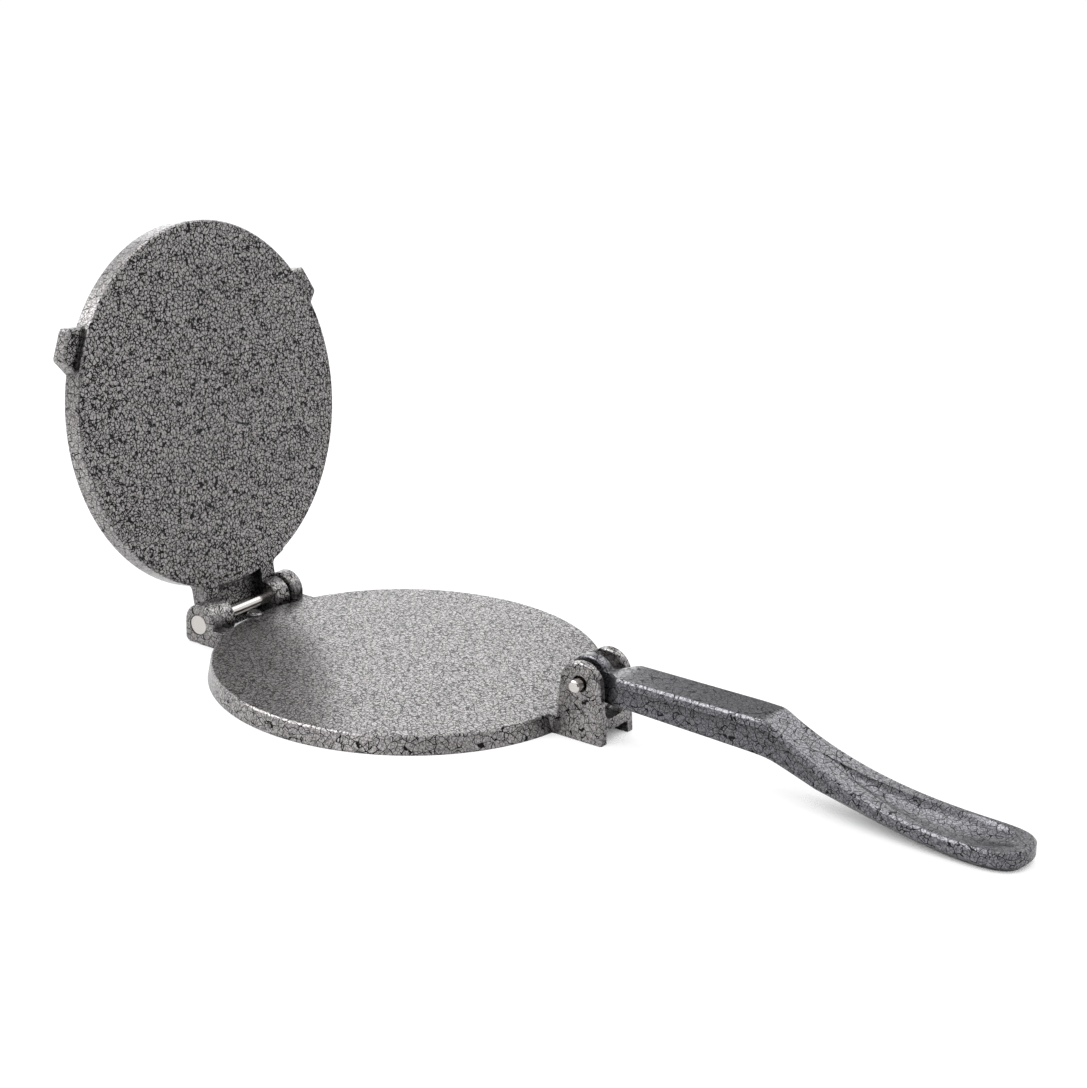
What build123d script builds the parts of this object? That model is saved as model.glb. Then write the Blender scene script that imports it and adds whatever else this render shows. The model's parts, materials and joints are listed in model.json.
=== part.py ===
from build123d import *
import math
import os

# Cast-iron tortilla press, standing open: a round base plate, a round lid hinged behind it
# and a pressing lever that swings over the lid from the front.
# Millimetres. Origin: centre of the base plate on the table. +X runs from the hinge to the
# lever, +Y across the press, +Z up.

# ---------------------------------------------------------------- driving sizes
# base plate
face_radius = 99.1           # flat pressing face
base_flare = 2.3             # of the rim's foot on the table, beyond the face
base_height = 9.3
base_edge_bevel = 0.9
base_web = 5.6               # iron left above the underside hollow
base_rim_width = 6.5
underside_rib_width = 6.0
underside_rib_count = 6
underside_hub_radius = 17.0
root_round = 3.0             # rounded corners where ears and bracket leave the rim

# lid, given as it lies when closed
lid_inset = 3.2              # of the lid's rim, inside the base's face
lid_shift = 0.5              # of the lid's centre, towards the hinge
lid_thickness = 11.0
lid_face_bevel = 0.8
lid_back_bevel = 1.1
lid_web = 7.2                # iron left in front of the hollow in the back
lid_rim_width = 6.5
lid_gap = 0.6                # air left between the two pressing faces
spine_width = 27.0           # full-height bar under the closed lever
back_rib_width = 6.0
back_rib_angle = 62.0        # from the spine, each side, fore and aft
back_hub_radius = 21.0

# lugs on the sides of the lid
lug_angle = 28.4             # forward of the lid's cross diameter
lug_reach = 9.4              # beyond the rim
lug_tip_width = 16.6
lug_root_width = 25.0
lug_setback = 3.4            # behind the pressing face
lug_corner_round = 2.4

# hinge behind the plates
hinge_setout = 9.4           # of the pin, behind the rim's foot
hinge_z = 10.2
hinge_pin_radius = 3.0
hinge_head_radius = 5.2
hinge_head_length = 3.2
hinge_head_recess = 0.4
hinge_head_clearance = 0.35
hinge_span = 72.0            # over both rear ears
rear_ear_thickness = 8.0
rear_ear_radius = 10.1
rear_ear_lead = 1.1          # of the round of an ear, in front of the pin
rear_ear_rise = 1.1          # of that round, above the pin
rear_ear_foot_round = 2.6
ear_edge_bevel = 0.8         # along the round edges of ears and knuckles
knuckle_radius = 9.6
knuckle_width = 10.4
side_gap = 0.8               # between a knuckle and its ear
running_clearance = 0.05     # pin in a turning knuckle, on the radius
arm_root_round = 3.5
arm_back_setback = 1.6       # of the arms, in front of the lid's back
yoke_setback = 4.3           # of the bridge between the arms, behind the pressing face
stop_width = 8.0             # small rounded bump on the base rim
stop_height = 1.6
stop_y = -3.5
lid_open_angle = 100.4

# lever bracket in front of the base plate
pivot_setout = 13.8          # of the pin, in front of the rim's foot
pivot_z = 29.4
lever_pin_radius = 3.2
lever_pin_overhang = 5.6     # out of the near ear
lever_pin_end_chamfer = 0.7
loose_hole_radius = 4.2      # cored hole in the near ear
front_ear_radius = 11.8
front_ear_drop = 1.1         # of the round of an ear, below the pin
front_ear_foot = 13.7        # half of its length at the table
front_ear_thickness = 4.9
bracket_width = 28.4
tunnel_gap = 1.5             # from the rim's foot to the square tunnel in the bracket
bridge_bottom = 5.9
bridge_top = 11.3
fork_corner_round = 6.0

# lever, given as it lies with its tip on the table; its lengths run from the pin to the tip
knob_radius = 11.8           # round knuckle between the ears
knob_width = 6.2
lever_shift = -2.9           # of the lever in its fork, towards the near ear
lever_over_gap = 0.5         # air between the lid's back and the lever lying over it
neck_reach = 11.3            # from the pin to the flange
flange_taper_length = 9.0    # over which the flange widens
flange_dip = 2.0             # of the flange's top, down to the neck
flange_dip_length = 12.5
flange_length = 81.0         # at full width, up to the bend
flange_half_width = 11.4
flange_thickness = 4.1
flange_corner_round = 3.0
web_width = 6.8
web_bottom_front = 19.6
web_bottom_bend = 16.3
recess_runout = 56.0         # the hollows beside the web end this far past the bend
recess_deck = 4.0            # iron above the hollows, past the bend
grip_length = 131.4          # from the bend to the tip
grip_level = 15.9            # level stretch before the tip
grip_nose = 26.9             # from the widest place to the tip
nose_fullness = 0.76         # 0.55 would be a quarter of an ellipse
waist_half_width = 10.7
waist_lead = 14.0            # over which the flange narrows to the waist
grip_half_width = 16.8
tip_top = 9.6
table_gap = 0.2
top_angle = 29.2             # of the top line just past the bend
top_share = 0.068            # of its fall, left at the line's middle control point
bottom_angle = 12.1          # of the bottom line just past the bend
bottom_share = 0.425
width_share = 0.29
top_bend_round = 10.0
bottom_bend_round = 50.0
grip_top_bevel = 1.2
grip_bottom_bevel = 2.6
trough_lead = 25.5           # from the bend to the trough
trough_end_wall = 7.4
trough_rim = 6.0             # flat left on each side
trough_depth = 3.6

# ---------------------------------------------------------------- worked-out places
base_radius = face_radius + base_flare
lid_radius = face_radius - lid_inset
hinge_x = base_radius + hinge_setout
pivot_x = base_radius + pivot_setout
tunnel_x = base_radius + tunnel_gap
lid_face_z = base_height + lid_gap
lid_back_z = lid_face_z + lid_thickness
ear_inner_y = hinge_span / 2 - rear_ear_thickness
knuckle_outer_y = ear_inner_y - side_gap
knuckle_inner_y = knuckle_outer_y - knuckle_width
arm_back_z = lid_back_z - arm_back_setback
front_ear_inner_y = bracket_width / 2 - front_ear_thickness
hinge_axis = Axis((-hinge_x, 0, hinge_z), (0, -1, 0))

flange_top = 2 * pivot_z - lid_back_z - lever_over_gap
flange_tip_x = pivot_x + neck_reach
flange_start_x = flange_tip_x + flange_taper_length
bend_x = flange_start_x + flange_length
lever_tip_x = bend_x + grip_length
grip_level_x = lever_tip_x - grip_level
grip_widest_x = lever_tip_x - grip_nose
recess_end_x = bend_x + recess_runout


def bar_y(radius, x, z, y0, y1):
    """Round bar along Y between two places."""
    circle = Plane((x, y0, z), x_dir=(1, 0, 0), z_dir=(0, 1, 0)) * Circle(radius)
    return extrude(circle, amount=y1 - y0)


def side_plate(face, y0, y1):
    """A shape drawn in side view (X across, Z up), made solid between two places along Y."""
    low, high = sorted((y0, y1))
    return extrude(Plane((0, high, 0), x_dir=(1, 0, 0), z_dir=(0, -1, 0)) * face, amount=high - low)


def upright(face, z0, z1):
    """A shape drawn in plan, made solid between two heights."""
    return Pos(0, 0, z0) * extrude(face, amount=z1 - z0, dir=(0, 0, 1))


def block(x0, x1, y0, y1, z0, z1):
    return Pos((x0 + x1) / 2, (y0 + y1) / 2, (z0 + z1) / 2) * Box(x1 - x0, y1 - y0, z1 - z0)


def radial_bar(width, reach, angle, z0, z1):
    """Rib from the centre outwards."""
    return Rot(0, 0, angle) * block(0, reach, -width / 2, width / 2, z0, z1)


def turned(outline):
    """Body of revolution about Z from a half outline drawn in X and Z."""
    return revolve(Plane.XZ * outline, axis=Axis.Z)


def chord_x(radius, y):
    """How far a circle about the origin reaches along X at a place across."""
    return math.sqrt(radius ** 2 - y ** 2)


def bevel_round_edges(body, radius, bevel):
    """Bevels the round edges of one radius that lie in side view."""
    found = [e for e in body.edges().filter_by(GeomType.CIRCLE) if abs(e.radius - radius) < 0.01]
    return chamfer(found, bevel)


def corner_web(radius, half_width, reach, corner_round, z0, z1):
    """Rounded corners between a rim and a straight block that leaves it towards +X."""
    plan = Circle(radius) + Pos(reach / 2, 0) * Rectangle(reach, 2 * half_width)
    start_x = chord_x(radius, half_width)
    corners = [v for v in plan.vertices() if abs(v.X - start_x) < 0.01]
    plan = fillet(corners, corner_round)
    near = block(start_x - corner_round, reach, -radius, radius, z0, z1)
    return upright(plan, z0, z1) & near


# ---------------------------------------------------------------- base plate casting
def base_disc():
    pocket = base_height - base_web
    draft = 0.25 * pocket
    hollow_radius = base_radius - base_rim_width
    shoulder = base_height - base_edge_bevel
    outline = Polygon(
        (0, pocket),
        (hollow_radius, pocket),
        (hollow_radius + draft, 0),
        (base_radius, 0),
        (face_radius + base_edge_bevel, shoulder),
        (face_radius, base_height),
        (0, base_height),
        align=None,
    )
    disc = turned(outline)
    for i in range(underside_rib_count):
        angle = 360 / underside_rib_count * (i + 0.5)
        disc += radial_bar(underside_rib_width, hollow_radius + draft, angle, 0, pocket)
    disc += Pos(0, 0, pocket / 2) * Cylinder(underside_hub_radius, pocket)
    return disc


def rear_ear(side):
    middle_x = -hinge_x + rear_ear_lead
    middle_z = hinge_z + rear_ear_rise
    foot = Rectangle(2 * rear_ear_radius, middle_z, align=(Align.CENTER, Align.MIN))
    outline = Pos(middle_x, 0) * foot + Pos(middle_x, middle_z) * Circle(rear_ear_radius)
    heel = outline.vertices().group_by(Axis.Y)[0].sort_by(Axis.X)[0]
    outline = fillet(heel, rear_ear_foot_round)
    y_out = side * hinge_span / 2
    y_in = side * ear_inner_y
    ear = bevel_round_edges(side_plate(outline, y_out, y_in), rear_ear_radius, ear_edge_bevel)
    root_x = -chord_x(face_radius, hinge_span / 2) + base_rim_width / 2
    low, high = sorted((y_out, y_in))
    return ear + block(middle_x, root_x, low, high, 0, base_height)


def bracket():
    half = bracket_width / 2
    middle_z = pivot_z - front_ear_drop
    shank = Polygon(
        (pivot_x - front_ear_foot, 0),
        (pivot_x + front_ear_foot, 0),
        (pivot_x + front_ear_radius, middle_z),
        (pivot_x - front_ear_radius, middle_z),
        align=None,
    )
    outline = shank + Pos(pivot_x, middle_z) * Circle(front_ear_radius)
    body = side_plate(outline, -half, half)
    x_front = pivot_x + front_ear_foot
    x_back = face_radius - base_rim_width
    body += block(x_back, pivot_x, -half, half, 0, base_height)
    # the fork that the lever swings in, round-cornered at its floor
    fork = RectangleRounded(2 * front_ear_inner_y, 2 * pivot_z, fork_corner_round)
    fork = Pos(0, bridge_top + pivot_z) * fork
    body -= extrude(Plane.YZ.offset(x_back - 1) * fork, amount=x_front - x_back + 2)
    body = bevel_round_edges(body, front_ear_radius, ear_edge_bevel)
    # the square tunnel below the bridge
    body -= block(tunnel_x, x_front + 1, -front_ear_inner_y, front_ear_inner_y, -1, bridge_bottom)
    return body


def base_plate():
    shoulder = base_height - base_edge_bevel
    shoulder_radius = face_radius + base_edge_bevel
    part = base_disc() + bracket()
    part += corner_web(shoulder_radius, bracket_width / 2, pivot_x, root_round, 0, shoulder)
    part -= block(tunnel_x, pivot_x + 1, -front_ear_inner_y, front_ear_inner_y, -1, bridge_bottom)
    ear_webs = corner_web(shoulder_radius, hinge_span / 2, hinge_x - rear_ear_lead, root_round, 0, shoulder)
    ear_webs -= block(0, hinge_x, -ear_inner_y, ear_inner_y, -1, base_height)
    part += Rot(0, 0, 180) * ear_webs
    for side in (-1, 1):
        part += rear_ear(side)
    # small rounded stop bump between the lid's arms
    bump = Pos(-shoulder_radius, stop_y, base_height) * Cylinder(stop_width / 2, 2 * stop_height)
    part += chamfer(bump.edges().group_by(Axis.Z)[-1], 0.6 * stop_height)
    # holes: a cored hole in the near front ear, a tight one in the far ear
    part -= bar_y(loose_hole_radius, pivot_x, pivot_z, -bracket_width / 2 - 1, -front_ear_inner_y + 1)
    part -= bar_y(lever_pin_radius, pivot_x, pivot_z, front_ear_inner_y - 1, bracket_width / 2 + 1)
    # holes for the hinge pin, with a counterbore for its head in the near ear
    span = hinge_span / 2
    part -= bar_y(hinge_pin_radius, -hinge_x, hinge_z, -span - 1, span + 1)
    seat = -span + hinge_head_length + hinge_head_recess
    part -= bar_y(hinge_head_radius + hinge_head_clearance, -hinge_x, hinge_z, -span - 1, seat)
    return part


# ---------------------------------------------------------------- lid casting
def lid_disc():
    back = lid_back_z
    floor = lid_face_z + lid_web
    draft = 0.25 * (back - floor)
    hollow_radius = lid_radius - lid_rim_width
    outline = Polygon(
        (0, floor),
        (0, lid_face_z),
        (lid_radius - lid_face_bevel, lid_face_z),
        (lid_radius, lid_face_z + lid_face_bevel),
        (lid_radius, back - lid_back_bevel),
        (lid_radius - lid_back_bevel, back),
        (hollow_radius + draft, back),
        (hollow_radius, floor),
        align=None,
    )
    disc = turned(outline)
    reach = hollow_radius + draft / 2
    for angle in (0, 180):
        disc += radial_bar(spine_width, reach, angle, floor, back)
    for angle in (back_rib_angle, 180 - back_rib_angle, -back_rib_angle, back_rib_angle - 180):
        disc += radial_bar(back_rib_width, reach, angle, floor, back)
    disc += Pos(0, 0, (floor + back) / 2) * Cylinder(back_hub_radius, back - floor)
    return disc


def lug(side):
    inner = lid_radius - lid_rim_width
    tip = lid_radius + lug_reach
    root_half = lug_root_width / 2
    outline = Polygon(
        (-root_half, inner),
        (-root_half, chord_x(lid_radius, root_half)),
        (-lug_tip_width / 2, tip),
        (lug_tip_width / 2, tip),
        (root_half, chord_x(lid_radius, root_half)),
        (root_half, inner),
        align=None,
    )
    tips = outline.vertices().group_by(Axis.Y)[-1]
    outline = fillet(tips, lug_corner_round)
    tab = upright(outline, lid_face_z + lug_setback, lid_back_z)
    rim_edges = [e for e in tab.edges() if e.center().Y > lid_radius + 1 and abs((e % 0.5).Z) < 0.1]
    tab = chamfer(rim_edges, lid_face_bevel)
    if side > 0:
        return Rot(0, 0, -lug_angle) * tab
    return Rot(0, 0, 180 + lug_angle) * tab


def yoke():
    """Both hinge arms with their knuckles, and the bridge that joins them behind the pin."""
    rim_x = -lid_shift - lid_radius
    root_x = rim_x + 2 * lid_rim_width
    bridge_face = lid_face_z + yoke_setback
    half = knuckle_inner_y + ear_edge_bevel
    body = block(-hinge_x, root_x, -half, half, bridge_face, arm_back_z)
    above = block(-2 * hinge_x, 0, -half, half, bridge_face, 2 * arm_back_z)
    body += bar_y(knuckle_radius, -hinge_x, hinge_z, -half, half) & above
    for low, high in ((-knuckle_outer_y, -knuckle_inner_y), (knuckle_inner_y, knuckle_outer_y)):
        knuckle = bar_y(knuckle_radius, -hinge_x, hinge_z, low, high)
        body += bevel_round_edges(knuckle, knuckle_radius, ear_edge_bevel)
        body += block(-hinge_x, root_x, low, high, lid_face_z, arm_back_z)
    webs = corner_web(lid_radius, knuckle_outer_y, hinge_x - lid_shift, arm_root_round, lid_face_z, arm_back_z)
    webs -= block(0, hinge_x, -knuckle_inner_y, knuckle_inner_y, 0, bridge_face)
    return body + Pos(-lid_shift, 0, 0) * (Rot(0, 0, 180) * webs)


def upper_plate():
    disc = lid_disc()
    for side in (-1, 1):
        disc += lug(side)
    part = Pos(-lid_shift, 0, 0) * disc + yoke()
    bore = hinge_pin_radius + running_clearance
    part -= bar_y(bore, -hinge_x, hinge_z, -knuckle_outer_y - 1, knuckle_outer_y + 1)
    return part.rotate(hinge_axis, lid_open_angle)


# ---------------------------------------------------------------- pressing lever
def bend_ends(corner, before, after, radius):
    """Where an arc that rounds off a bend starts and ends, for the falls before and after it."""
    before, after = math.radians(before), math.radians(after)
    reach = radius * math.tan(abs(after - before) / 2)
    start = (corner[0] - reach * math.cos(before), corner[1] + reach * math.sin(before))
    return start, (corner[0] + reach * math.cos(after), corner[1] - reach * math.sin(after))


def sweep_line(start, angle, end, share):
    """Evenly spaced control points of a line that leaves its start at an angle and ends level."""
    step = (end[0] - start[0]) / 4
    second = start[1] - step * math.tan(math.radians(angle))
    middle = end[1] + (start[1] - end[1]) * share
    heights = (start[1], second, middle, end[1], end[1])
    return [(start[0] + i * step, height) for i, height in enumerate(heights)]


def height_on(points, x):
    """Where such a line is at a place along the lever."""
    share = (x - points[0][0]) / (points[-1][0] - points[0][0])
    share = min(max(share, 0), 1)
    return sum(math.comb(4, i) * share ** i * (1 - share) ** (4 - i) * points[i][1] for i in range(5))


web_angle = math.degrees(math.atan2(web_bottom_front - web_bottom_bend, bend_x - flange_tip_x))
top_bend = bend_ends((bend_x, flange_top), 0, top_angle, top_bend_round)
bottom_bend = bend_ends((bend_x, web_bottom_bend), web_angle, bottom_angle, bottom_bend_round)
top_line = sweep_line(top_bend[1], top_angle, (grip_level_x, tip_top), top_share)
bottom_line = sweep_line(bottom_bend[1], bottom_angle, (grip_level_x, table_gap), bottom_share)
width_line = sweep_line((bend_x, waist_half_width), 0, (grip_widest_x, grip_half_width), width_share)


def lever_side():
    """Side view: straight beam, rounded bend, and a grip that sweeps down to the table."""
    top_arc = TangentArc(top_bend[0], top_bend[1], tangent=(1, 0))
    fall = Bezier(*top_line)
    tip = Polyline(fall @ 1, (lever_tip_x, tip_top), (lever_tip_x, table_gap), (grip_level_x, table_gap))
    rise = Bezier(*bottom_line[::-1])
    bottom_arc = TangentArc(rise @ 1, bottom_bend[0], tangent=rise % 1)
    dip_top = (flange_tip_x + flange_dip_length, flange_top)
    beam = Line(dip_top, top_bend[0])
    dip = TangentArc(dip_top, (flange_tip_x, flange_top - flange_dip), tangent=(-1, 0))
    web = Polyline(dip @ 1, (flange_tip_x, web_bottom_front), bottom_bend[0])
    return make_face([top_arc, fall, tip, rise, bottom_arc, web, dip, beam])


def lever_plan():
    """Outline seen from above: flange with cut corners, waist and spoon-shaped grip."""
    flange_end = (bend_x - waist_lead, flange_half_width)
    front = Polyline(
        (flange_tip_x, 0),
        (flange_tip_x, web_width / 2),
        (flange_start_x, flange_half_width),
        flange_end,
    )
    narrowing = Bezier(*sweep_line(flange_end, 0, (bend_x, waist_half_width), 0.5))
    widening = Bezier(*width_line)
    nose = Bezier(
        (grip_widest_x, grip_half_width),
        (grip_widest_x + nose_fullness * grip_nose, grip_half_width),
        (lever_tip_x, nose_fullness * grip_half_width),
        (lever_tip_x, 0),
    )
    close = Line((lever_tip_x, 0), (flange_tip_x, 0))
    half = make_face([front, narrowing, widening, nose, close])
    plan = half + mirror(half, about=Plane.XZ)
    corners = [v for v in plan.vertices() if abs(v.X - flange_start_x) < 0.01]
    return fillet(corners, flange_corner_round)


def side_recess():
    """What is missing beside the web on the far side, under the flange, running out past the bend."""
    far_y = 2 * grip_half_width
    under = flange_top - flange_thickness
    start_x = pivot_x
    deck_places = [bend_x + recess_runout * share for share in (0.35, 0.7, 1)]
    deck = Spline(
        [(bend_x - recess_deck, under)] + [(x, height_on(top_line, x) - recess_deck) for x in deck_places],
        tangents=[(1, 0), (1, -math.tan(math.radians(top_angle)) / 2)],
    )
    below = Polyline(deck @ 1, (recess_end_x, -recess_deck), (start_x, -recess_deck), (start_x, under), deck @ 0)
    start_y = web_width / 2
    inner = Spline(
        [(bend_x - waist_lead, start_y), (recess_end_x, height_on(width_line, recess_end_x) + 0.4)],
        tangents=[(1, 0), (1, 0.12)],
    )
    outside = Polyline(inner @ 1, (recess_end_x, far_y), (start_x, far_y), (start_x, start_y), inner @ 0)
    side = side_plate(make_face([deck, below]), 0, far_y)
    return side & upright(make_face([inner, outside]), -recess_deck, flange_top)


def trough():
    """Long dish in the top of the grip, lofted through ellipses that swell and shrink."""
    sections = []
    start_x = bend_x + trough_lead
    length = lever_tip_x - trough_end_wall - start_x
    for share, swell in ((0, 0.06), (0.15, 0.55), (0.45, 1), (0.92, 1), (1, 0.4)):
        x = start_x + length * share
        wide = (height_on(width_line, x) - trough_rim) * swell
        deep = trough_depth * swell
        place = Plane((x, 0, height_on(top_line, x) + 0.5 * deep), x_dir=(0, 1, 0), z_dir=(1, 0, 0))
        sections.append(place * Ellipse(wide / 0.94, 1.5 * deep))
    return loft(sections)


def outline_edges(part, side):
    """Edges that run round the top (side 1) or the underside (side -1)."""
    found = []
    for face in part.faces():
        if side * face.normal_at().Z > 0.5:
            for edge in face.edges():
                straight_across = edge.geom_type == GeomType.LINE and abs(edge.center().Y) < 0.01
                if not straight_across:
                    found.append(edge)
    return found


def lever_blank():
    """Side view and plan crossed, full depth everywhere, with bevelled edges."""
    wide = 2 * grip_half_width
    high = 2 * flange_top
    blank = side_plate(lever_side(), -wide, wide) & upright(lever_plan(), -1, high)
    split_x = bend_x - waist_lead - 2
    front = blank & block(flange_tip_x - 1, split_x, -wide, wide, -1, high)
    rear = blank & block(split_x, lever_tip_x + 1, -wide, wide, -1, high)
    front = chamfer(outline_edges(front, 1), grip_top_bevel)
    rear = chamfer(outline_edges(rear, 1), grip_top_bevel)
    rear = chamfer(outline_edges(rear, -1), grip_bottom_bevel)
    return front + rear


def pressing_lever():
    part = lever_blank()
    recess = side_recess()
    part -= recess
    part -= mirror(recess, about=Plane.XZ)
    part -= trough()
    # knuckle, and the neck that joins it to the flange
    half = knob_width / 2
    part += block(pivot_x, flange_start_x, -half, half, web_bottom_front, flange_top - flange_dip)
    knuckle = bar_y(knob_radius, pivot_x, pivot_z, -half, half)
    part += bevel_round_edges(knuckle, knob_radius, ear_edge_bevel)
    bore = lever_pin_radius + running_clearance
    part -= bar_y(bore, pivot_x, pivot_z, -knob_width, knob_width)
    return Pos(0, lever_shift, 0) * part


# ---------------------------------------------------------------- pins
def hinge_pin():
    span = hinge_span / 2
    head_start = -span + hinge_head_recess
    pin = bar_y(hinge_pin_radius, -hinge_x, hinge_z, head_start, span)
    pin += bar_y(hinge_head_radius, -hinge_x, hinge_z, head_start, head_start + hinge_head_length)
    return pin


def lever_pin():
    half = bracket_width / 2
    pin = bar_y(lever_pin_radius, pivot_x, pivot_z, -half - lever_pin_overhang, half)
    ends = pin.edges().filter_by(GeomType.CIRCLE)
    return chamfer(ends.sort_by(Axis.Y)[0], lever_pin_end_chamfer)


os.makedirs("parts", exist_ok=True)
pieces = {
    "base_plate": base_plate(),
    "upper_plate": upper_plate(),
    "pressing_lever": pressing_lever(),
    "hinge_pin": hinge_pin(),
    "lever_pin": lever_pin(),
}
for name, piece in pieces.items():
    piece.label = name
    export_step(piece, "parts/" + name + ".step")
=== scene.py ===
import json
import math

import bpy
from bpy.props import FloatProperty, FloatVectorProperty, PointerProperty
from bpy.types import Operator, Panel, PropertyGroup
from mathutils import Matrix, Vector

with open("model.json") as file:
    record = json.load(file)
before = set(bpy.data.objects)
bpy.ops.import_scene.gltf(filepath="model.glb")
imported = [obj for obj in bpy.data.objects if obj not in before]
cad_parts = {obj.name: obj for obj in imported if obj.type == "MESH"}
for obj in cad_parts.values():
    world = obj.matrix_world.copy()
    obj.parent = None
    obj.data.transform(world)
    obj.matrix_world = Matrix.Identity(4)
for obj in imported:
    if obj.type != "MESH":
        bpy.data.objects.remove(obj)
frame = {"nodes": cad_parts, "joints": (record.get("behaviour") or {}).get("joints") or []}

bl_info = {
    "name": "Tortilla press",
    "version": (1, 0, 0),
    "blender": (4, 5, 0),
    "location": "View3D > Sidebar > Press",
    "description": "Finishes a cast-iron tortilla press and sets it on a plain studio floor",
    "category": "Object",
}

MM = 0.001

# which way the pressing faces look, with the press open at rest
LID_HINGE = next(joint for joint in frame["joints"] if joint["name"] == "lid_hinge")
LID_OPEN = math.radians(LID_HINGE["range_deg"][1])    # from closed to rest
BASE_FACE = (0, 0, 1)
LID_FACE = (math.sin(LID_OPEN), 0, -math.cos(LID_OPEN))
NO_FACE = (0, 0, 0)    # the lever has no pressing face


def linear(code):
    """sRGB hex colour to linear RGB."""
    values = [int(code[i:i + 2], 16) / 255 for i in (1, 3, 5)]
    return [v / 12.92 if v <= 0.04045 else ((v + 0.055) / 1.055) ** 2.4 for v in values]


def colour(name, about, code):
    return FloatVectorProperty(
        name=name, description=about, subtype="COLOR", size=3, min=0, max=1, default=linear(code))


def length(name, about, millimetres):
    return FloatProperty(
        name=name, description=about, subtype="DISTANCE", unit="LENGTH", min=0,
        default=millimetres * MM)


def share(name, about, value):
    return FloatProperty(
        name=name, description=about, subtype="FACTOR", min=0, max=1, default=value)


# ---------------------------------------------------------------- what a user would change
class PressEnamel(PropertyGroup):
    plate_grey: colour("Plate grey", "Flake grey of the base plate and the lid", "#A29E9E")
    lever_grey: colour("Lever grey", "Flake grey of the lever", "#77767C")
    vein_grey: colour("Vein", "Dark veins between the flake islands", "#070608")
    plate_island: length("Plate islands", "Between the wrinkles on the plates", 2.2)
    lever_island: length("Lever islands", "Between the wrinkles on the lever", 1.8)
    base_wrinkle: length("Base wrinkles", "Width of the wrinkles on the base and the lever", 0.36)
    lid_wrinkle: length("Lid wrinkles", "Width of the wrinkles on the lid", 0.42)
    side_wrinkling: share("Side wrinkling", "Darkness of the wrinkles off the pressing faces", 0.5)
    crack: length("Cracks", "Between the veins", 3.8)
    vein_width: length("Vein width", "Width of the veins", 0.3)
    edge_round: length("Edge rounding", "Enamel drawn round sharp cast edges", 0.7)


class PressSteel(PropertyGroup):
    steel: colour("Steel", "Drawn steel of the two pins", "#D8D4D0")


class PressStudio(PropertyGroup):
    floor: colour("Floor", "Floor and background", "#FFFFFF")
    room: colour("Room", "Light from the room around the press", "#B4B4B4")


# ---------------------------------------------------------------- small helpers
def add_node(tree, kind, inputs=None, **settings):
    """Adds one node with its settings, and its socket values or links."""
    node = tree.nodes.new(kind)
    for key, value in settings.items():
        setattr(node, key, value)
    for key, value in (inputs or {}).items():
        if isinstance(value, bpy.types.NodeSocket):
            tree.links.new(value, node.inputs[key])
        else:
            node.inputs[key].default_value = value
    return node


def new_material(name):
    material = bpy.data.materials.new(name)
    material.use_nodes = True
    tree = material.node_tree
    tree.nodes.clear()
    return material, tree


def rgba(values):
    return (*values, 1.0)


def dress(node, material):
    """Gives a CAD node its finish."""
    slots = frame["nodes"][node].data.materials
    slots.clear()
    slots.append(material)


# ---------------------------------------------------------------- finishes
BEND = 0.8                # size of a vein's bends, as a share of the distance between veins
STRAY = 0.4               # range within which a vein strays, as a share of the same
GAP = (0.36, 0.42)        # noise below which a vein breaks off, and above which it is whole
ON_FACE = (0.85, 0.97)    # cosine to a pressing face's normal: beside the face, and on it
FLAKE = 0.8 * MM          # size of a flake, drawn coarser than real so that it shows as a grain
GRAIN = (0.55, 1.25)      # the darkest and the brightest flakes, as shares of the grey
PAINTED_SHADE_REACH = 20 * MM      # how far from an inner corner the painted shade reaches
PAINTED_SHADE_AO = (0.5, 0.95)        # open air where the painted shade is darkest, and where it ends
VEIN_DEPTH = 0.05 * MM
PIN_EDGE = 0.3 * MM       # rounding of the pins' edges
DRAWN_LINE = 0.15         # mm between the drawing lines of the pins
LINE_STRETCH = 40         # how many times longer than wide those lines are


def crackle(tree, place, cell, width):
    """Wavy, broken net of lines a cell apart: 1 on a line, 0 inside an island."""
    wander = add_node(
        tree, "ShaderNodeTexNoise", {"Vector": place, "Scale": 1 / (BEND * cell), "Detail": 1.0})
    centred = add_node(
        tree, "ShaderNodeVectorMath", {0: wander.outputs["Color"], 1: (0.5, 0.5, 0.5)},
        operation="SUBTRACT")
    shift = add_node(
        tree, "ShaderNodeVectorMath", {0: centred.outputs[0], "Scale": STRAY * cell},
        operation="SCALE")
    warped = add_node(
        tree, "ShaderNodeVectorMath", {0: place, 1: shift.outputs[0]}, operation="ADD")
    cells = add_node(
        tree, "ShaderNodeTexVoronoi", {"Vector": warped.outputs[0], "Scale": 1 / cell},
        feature="DISTANCE_TO_EDGE")
    half_width = 0.5 * width / cell
    line = add_node(
        tree, "ShaderNodeMapRange",
        {"Value": cells.outputs["Distance"], "From Min": 0.8 * half_width,
         "From Max": 1.2 * half_width, "To Min": 1.0, "To Max": 0.0},
        interpolation_type="SMOOTHSTEP")
    whole = add_node(
        tree, "ShaderNodeMapRange",
        {"Value": wander.outputs["Fac"], "From Min": GAP[0], "From Max": GAP[1]},
        interpolation_type="SMOOTHSTEP")
    broken = add_node(
        tree, "ShaderNodeMath", {0: line.outputs[0], 1: whole.outputs[0]}, operation="MULTIPLY")
    return broken.outputs[0]


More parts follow.
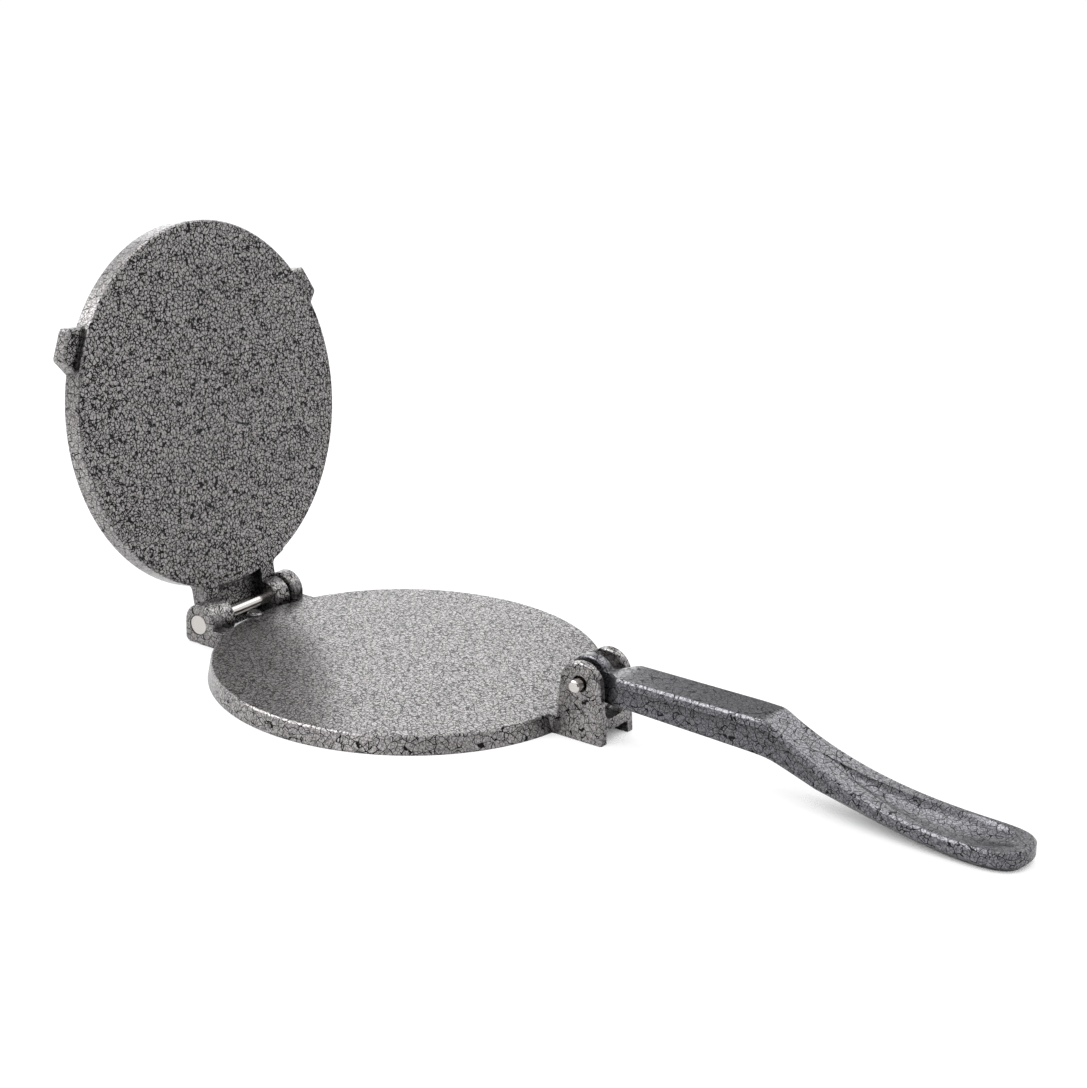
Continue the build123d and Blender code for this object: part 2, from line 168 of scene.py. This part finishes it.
def hammertone_enamel(name, grey, island, wrinkle_width, face):
    """Stoved hammertone enamel on sand-cast iron. The flake paint crawls as it dries, so it gives
    the eye silver-grey islands with a soft metal gloss, parted by dark veins, all under a clear
    glossy skin. One net of veins runs all over, 4 mm apart. Finer wrinkles 2 mm apart fill it in,
    dark on the flat pressing face, whose normal is face, and fainter elsewhere."""
    enamel = bpy.context.scene.press_enamel
    material, tree = new_material(name)
    spot = add_node(tree, "ShaderNodeTexCoord")
    place = spot.outputs["Object"]
    facing = add_node(
        tree, "ShaderNodeVectorMath", {0: spot.outputs["Normal"], 1: face},
        operation="DOT_PRODUCT")
    wrinkling = add_node(
        tree, "ShaderNodeMapRange",
        {"Value": facing.outputs["Value"], "From Min": ON_FACE[0], "From Max": ON_FACE[1],
         "To Min": enamel.side_wrinkling})
    # veins and wrinkles are drawn 0.3 to 0.4 mm wide, a little coarser than real, to stay visible
    wrinkle = crackle(tree, place, island, wrinkle_width)
    vein = crackle(tree, place, enamel.crack, enamel.vein_width)
    faint = add_node(
        tree, "ShaderNodeMath", {0: wrinkle, 1: wrinkling.outputs[0]}, operation="MULTIPLY")
    dark = add_node(
        tree, "ShaderNodeMath", {0: vein, 1: faint.outputs[0]}, operation="MAXIMUM")
    flakes = add_node(
        tree, "ShaderNodeTexNoise", {"Vector": place, "Scale": 1 / FLAKE, "Detail": 1.0})
    grain = add_node(
        tree, "ShaderNodeMapRange",
        {"Value": flakes.outputs["Fac"], "From Min": 0.38, "From Max": 0.62,
         "To Min": GRAIN[0], "To Max": GRAIN[1]})
    # painted shade: the flakes are darkened and the clear coat thinned in inner corners, such as
    # under the lever's flange, where shade falls
    corner = add_node(
        tree, "ShaderNodeAmbientOcclusion", {"Distance": PAINTED_SHADE_REACH}, samples=4, only_local=True)
    # painted shade factor: 1 in open air, down to 0.1 deep in inner corners
    clear = add_node(
        tree, "ShaderNodeMapRange",
        {"Value": corner.outputs["AO"], "From Min": PAINTED_SHADE_AO[0], "From Max": PAINTED_SHADE_AO[1], "To Min": 0.1})
    grain_with_painted_shade = add_node(
        tree, "ShaderNodeMath", {0: grain.outputs[0], 1: clear.outputs[0]}, operation="MULTIPLY")
    flake = add_node(
        tree, "ShaderNodeVectorMath", {0: tuple(grey), "Scale": grain_with_painted_shade.outputs[0]},
        operation="SCALE")
    # sockets 6 and 7 of the Mix node are its two colours, and output 2 is the mixed colour
    tone = add_node(
        tree, "ShaderNodeMix",
        {0: dark.outputs[0], 6: flake.outputs[0], 7: rgba(enamel.vein_grey)}, data_type="RGBA")
    # the flakes stand up and the veins are sunk between them
    relief = add_node(
        tree, "ShaderNodeMath", {0: dark.outputs[0], 1: -1.0, 2: flakes.outputs["Fac"]},
        operation="MULTIPLY_ADD")
    edge = add_node(tree, "ShaderNodeBevel", {"Radius": enamel.edge_round}, samples=4)
    bumps = add_node(
        tree, "ShaderNodeBump",
        {"Height": relief.outputs[0], "Distance": VEIN_DEPTH, "Strength": 0.6,
         "Normal": edge.outputs[0]})
    # the clear coat is thinner on the veins, and thinned in inner corners as part of the painted
    # shade
    skin = add_node(
        tree, "ShaderNodeMapRange",
        {"Value": dark.outputs[0], "To Min": clear.outputs[0], "To Max": 0.1})
    surface = add_node(
        tree, "ShaderNodeBsdfPrincipled",
        {"Base Color": tone.outputs[2], "Metallic": 0.8, "Roughness": 0.3,
         "Normal": bumps.outputs[0], "Coat Weight": skin.outputs[0], "Coat Roughness": 0.13,
         "Coat Normal": bumps.outputs[0]})
    add_node(tree, "ShaderNodeOutputMaterial", {"Surface": surface.outputs[0]})
    return material


def drawn_steel():
    """Cold-drawn bright steel rod: smooth along its length, with clear stretched reflections."""
    material, tree = new_material("drawn_steel_rod")
    place = add_node(tree, "ShaderNodeTexCoord").outputs["Object"]
    # the pins lie along Y, and so do their drawing lines
    across, along = 1 / DRAWN_LINE, 1 / (LINE_STRETCH * DRAWN_LINE)
    stretched = add_node(
        tree, "ShaderNodeVectorMath", {0: place, 1: (across, along, across)},
        operation="MULTIPLY")
    lines = add_node(
        tree, "ShaderNodeTexNoise",
        {"Vector": stretched.outputs[0], "Scale": 1 / MM, "Detail": 1.0})
    gloss = add_node(
        tree, "ShaderNodeMapRange",
        {"Value": lines.outputs["Fac"], "To Min": 0.12, "To Max": 0.26})
    edge = add_node(tree, "ShaderNodeBevel", {"Radius": PIN_EDGE}, samples=4)
    surface = add_node(
        tree, "ShaderNodeBsdfPrincipled",
        {"Base Color": rgba(bpy.context.scene.press_steel.steel), "Metallic": 1.0,
         "Roughness": gloss.outputs[0], "Normal": edge.outputs[0]})
    add_node(tree, "ShaderNodeOutputMaterial", {"Surface": surface.outputs[0]})
    return material


# ---------------------------------------------------------------- pieces
class PRESS_OT_base(Operator):
    """Enamels the base plate casting"""
    bl_idname = "press.base"
    bl_label = "Base plate"

    def execute(self, context):
        enamel = context.scene.press_enamel
        dress("base_plate", hammertone_enamel(
            "hammertone_base", enamel.plate_grey, enamel.plate_island, enamel.base_wrinkle,
            BASE_FACE))
        return {"FINISHED"}


class PRESS_OT_lid(Operator):
    """Enamels the lid casting"""
    bl_idname = "press.lid"
    bl_label = "Lid"

    def execute(self, context):
        enamel = context.scene.press_enamel
        dress("upper_plate", hammertone_enamel(
            "hammertone_lid", enamel.plate_grey, enamel.plate_island, enamel.lid_wrinkle,
            LID_FACE))
        return {"FINISHED"}


class PRESS_OT_lever(Operator):
    """Enamels the lever casting"""
    bl_idname = "press.lever"
    bl_label = "Lever"

    def execute(self, context):
        enamel = context.scene.press_enamel
        dress("pressing_lever", hammertone_enamel(
            "hammertone_lever", enamel.lever_grey, enamel.lever_island, enamel.base_wrinkle,
            NO_FACE))
        return {"FINISHED"}


class PRESS_OT_pins(Operator):
    """Polishes the hinge pin and the lever pin"""
    bl_idname = "press.pins"
    bl_label = "Pins"

    def execute(self, context):
        steel = drawn_steel()
        dress("hinge_pin", steel)
        dress("lever_pin", steel)
        return {"FINISHED"}


# ---------------------------------------------------------------- studio
# the photograph's camera: the place on the floor that it looks at, its angles and its distance
VIEW_TARGET = Vector((-61.14, 208.04, 0.0)) * MM
VIEW_AZIMUTH = math.radians(34.534)
VIEW_ELEVATION = math.radians(19.441)
VIEW_ROLL = math.radians(1.740)
VIEW_DISTANCE = 1496.2 * MM
FOCAL_PIXELS = 2543.84
PICTURE_HEIGHT = 1088
SENSOR = 36.0             # mm

FLOOR_SIZE = 12.0
FLOOR_GAP = 0.2 * MM      # keeps the floor out of the plane that the press rests on
FLOOR_GLOW = 0.8          # the rest of what the camera sees is paper, which holds the shadow
PAINTED_FLOOR_SHADOW_REACH = 30 * MM     # how far out the gaps under the press paint shadow into the floor's glow

# soft lamps: place, aim, width and height in metres, and watts
LAMPS = {
    "key_softbox": ((-0.9, -0.7, 1.45), (0, 0, 0.05), (1.4, 1.4), 22),
    "top_softbox": ((0.3, 0.8, 1.8), (0.05, 0, 0), (1.4, 1.0), 8),
}


def set_camera():
    """Camera where the photograph was taken from."""
    data = bpy.data.cameras.new("view")
    data.sensor_fit = "VERTICAL"
    data.sensor_height = SENSOR
    data.lens = FOCAL_PIXELS * SENSOR / PICTURE_HEIGHT
    data.clip_start = 0.05
    data.clip_end = 50
    turn = (
        Matrix.Rotation(VIEW_AZIMUTH, 4, "Z")
        @ Matrix.Rotation(math.pi / 2 - VIEW_ELEVATION, 4, "X")
        @ Matrix.Rotation(VIEW_ROLL, 4, "Z"))
    back_off = Matrix.Translation((0, 0, VIEW_DISTANCE))
    camera = bpy.data.objects.new("view", data)
    camera.matrix_world = Matrix.Translation(VIEW_TARGET) @ turn @ back_off
    bpy.context.scene.collection.objects.link(camera)
    bpy.context.scene.camera = camera


def set_world():
    """Even room light. Camera and mirror rays see the plain white background."""
    studio = bpy.context.scene.press_studio
    world = bpy.data.worlds.new("room")
    world.use_nodes = True
    tree = world.node_tree
    tree.nodes.clear()
    path = add_node(tree, "ShaderNodeLightPath")
    mirrored = add_node(
        tree, "ShaderNodeMath",
        {0: path.outputs["Is Glossy Ray"], 1: path.outputs["Is Transmission Ray"]},
        operation="MAXIMUM")
    seen = add_node(
        tree, "ShaderNodeMath", {0: path.outputs["Is Camera Ray"], 1: mirrored.outputs[0]},
        operation="MAXIMUM")
    room = add_node(tree, "ShaderNodeBackground", {"Color": rgba(studio.room)})
    backdrop = add_node(tree, "ShaderNodeBackground", {"Color": rgba(studio.floor)})
    mixed = add_node(
        tree, "ShaderNodeMixShader",
        {0: seen.outputs[0], 1: room.outputs[0], 2: backdrop.outputs[0]})
    add_node(tree, "ShaderNodeOutputWorld", {"Surface": mixed.outputs[0]})
    bpy.context.scene.world = world


def set_floor():
    """White floor that melts into the background. The paper keeps a faint shadow, and the gaps
    under the press get a painted shadow in its glow.
    """
    bpy.ops.mesh.primitive_plane_add(size=FLOOR_SIZE, location=(0, 0, -FLOOR_GAP))
    floor = bpy.context.object
    floor.name = "studio_floor"
    material, tree = new_material("matt_white_paper")
    studio = bpy.context.scene.press_studio
    path = add_node(tree, "ShaderNodeLightPath")
    glowing = add_node(
        tree, "ShaderNodeMath", {0: path.outputs["Is Camera Ray"], 1: FLOOR_GLOW},
        operation="MULTIPLY")
    paper = add_node(tree, "ShaderNodeBsdfDiffuse", {"Color": rgba(studio.floor)})
    # painted shadow: the floor's glow is dimmed where the press closes it in, so the gaps under
    # the press stay dark
    open_air = add_node(
        tree, "ShaderNodeAmbientOcclusion", {"Distance": PAINTED_FLOOR_SHADOW_REACH}, samples=2)
    painted_shadow_glow = add_node(
        tree, "ShaderNodeMapRange",
        {"Value": open_air.outputs["AO"], "From Min": 0.15, "From Max": 0.5,
         "To Min": 0.05, "To Max": 1.2})
    glow = add_node(
        tree, "ShaderNodeEmission", {"Color": rgba(studio.floor), "Strength": painted_shadow_glow.outputs[0]})
    mixed = add_node(
        tree, "ShaderNodeMixShader",
        {0: glowing.outputs[0], 1: paper.outputs[0], 2: glow.outputs[0]})
    add_node(tree, "ShaderNodeOutputMaterial", {"Surface": mixed.outputs[0]})
    floor.data.materials.append(material)


def set_lamp(name, place, aim, size, energy):
    data = bpy.data.lights.new(name, "AREA")
    data.shape = "RECTANGLE"
    data.size, data.size_y = size
    data.energy = energy
    lamp = bpy.data.objects.new(name, data)
    lamp.location = Vector(place)
    lamp.rotation_euler = (Vector(aim) - Vector(place)).to_track_quat("-Z", "Y").to_euler()
    bpy.context.scene.collection.objects.link(lamp)


def set_card(name, start, end, heights, glow):
    """Upright card that only mirror rays see, so that the glossy enamel has something to reflect.
    It stands over the ground from start to end (x, y), between two heights."""
    low, high = heights
    corners = [(*start, low), (*end, low), (*end, high), (*start, high)]
    mesh = bpy.data.meshes.new(name)
    mesh.from_pydata(corners, [], [(0, 1, 2, 3)])
    card = bpy.data.objects.new(name, mesh)
    bpy.context.scene.collection.objects.link(card)
    material, tree = new_material(name)
    light = add_node(tree, "ShaderNodeEmission", {"Color": (1, 1, 1, 1), "Strength": glow})
    add_node(tree, "ShaderNodeOutputMaterial", {"Surface": light.outputs[0]})
    mesh.materials.append(material)
    card.visible_camera = False
    card.visible_diffuse = False
    card.visible_shadow = False
    card.visible_transmission = False


def compass(azimuth, distance):
    """Ground place at a compass angle, counted from +X towards +Y."""
    angle = math.radians(azimuth)
    return distance * math.cos(angle), distance * math.sin(angle)


# cards: the ground places where they start and end, their heights in metres, and their glow
CARDS = {
    "white_panel_behind": ((-1.7, 0.8), (-0.4, 0.8), (0.02, 0.8), 1.6),
    "dark_card_behind": ((-0.38, 0.82), (0.0, 0.82), (0.0, 0.52), 0.2),
    "pale_card_behind": ((0.0, 0.82), (0.5, 0.82), (0.55, 1.5), 2.1),
    "dark_card_right": (compass(-60, 2.2), compass(-10, 2.2), (0.0, 1.6), 0.02),
    "pale_card_right": (compass(0, 2.2), compass(75, 2.2), (0.0, 1.2), 0.9),
    "strip_box_front": (compass(-85, 2.0), compass(-70, 2.0), (0.0, 1.2), 4.0),
    "grey_card_left": (compass(-170, 2.0), compass(-90, 2.0), (0.0, 1.0), 0.8),
}


class PRESS_OT_stage(Operator):
    """Sets the floor, the lamps, the cards and the camera"""
    bl_idname = "press.stage"
    bl_label = "Studio"

    def execute(self, context):
        context.scene.view_settings.view_transform = "Standard"
        set_camera()
        set_world()
        set_floor()
        for name, lamp in LAMPS.items():
            set_lamp(name, *lamp)
        for name, card in CARDS.items():
            set_card(name, *card)
        return {"FINISHED"}


# ---------------------------------------------------------------- panel and start
STEPS = (PRESS_OT_base, PRESS_OT_lid, PRESS_OT_lever, PRESS_OT_pins, PRESS_OT_stage)


class VIEW3D_PT_press(Panel):
    bl_label = "Tortilla press"
    bl_space_type = "VIEW_3D"
    bl_region_type = "UI"
    bl_category = "Press"

    def draw(self, context):
        scene = context.scene
        for group in (scene.press_enamel, scene.press_steel, scene.press_studio):
            for name in group.__annotations__:
                self.layout.prop(group, name)
        for step in STEPS:
            self.layout.operator(step.bl_idname)


CLASSES = (PressEnamel, PressSteel, PressStudio, *STEPS, VIEW3D_PT_press)


def register():
    for item in CLASSES:
        bpy.utils.register_class(item)
    bpy.types.Scene.press_enamel = PointerProperty(type=PressEnamel)
    bpy.types.Scene.press_steel = PointerProperty(type=PressSteel)
    bpy.types.Scene.press_studio = PointerProperty(type=PressStudio)


def unregister():
    del bpy.types.Scene.press_studio
    del bpy.types.Scene.press_steel
    del bpy.types.Scene.press_enamel
    for item in reversed(CLASSES):
        bpy.utils.unregister_class(item)


def main():
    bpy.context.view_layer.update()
    register()
    bpy.ops.press.base()
    bpy.ops.press.lid()
    bpy.ops.press.lever()
    bpy.ops.press.pins()
    bpy.ops.press.stage()


if __name__ == "__main__":
    main()
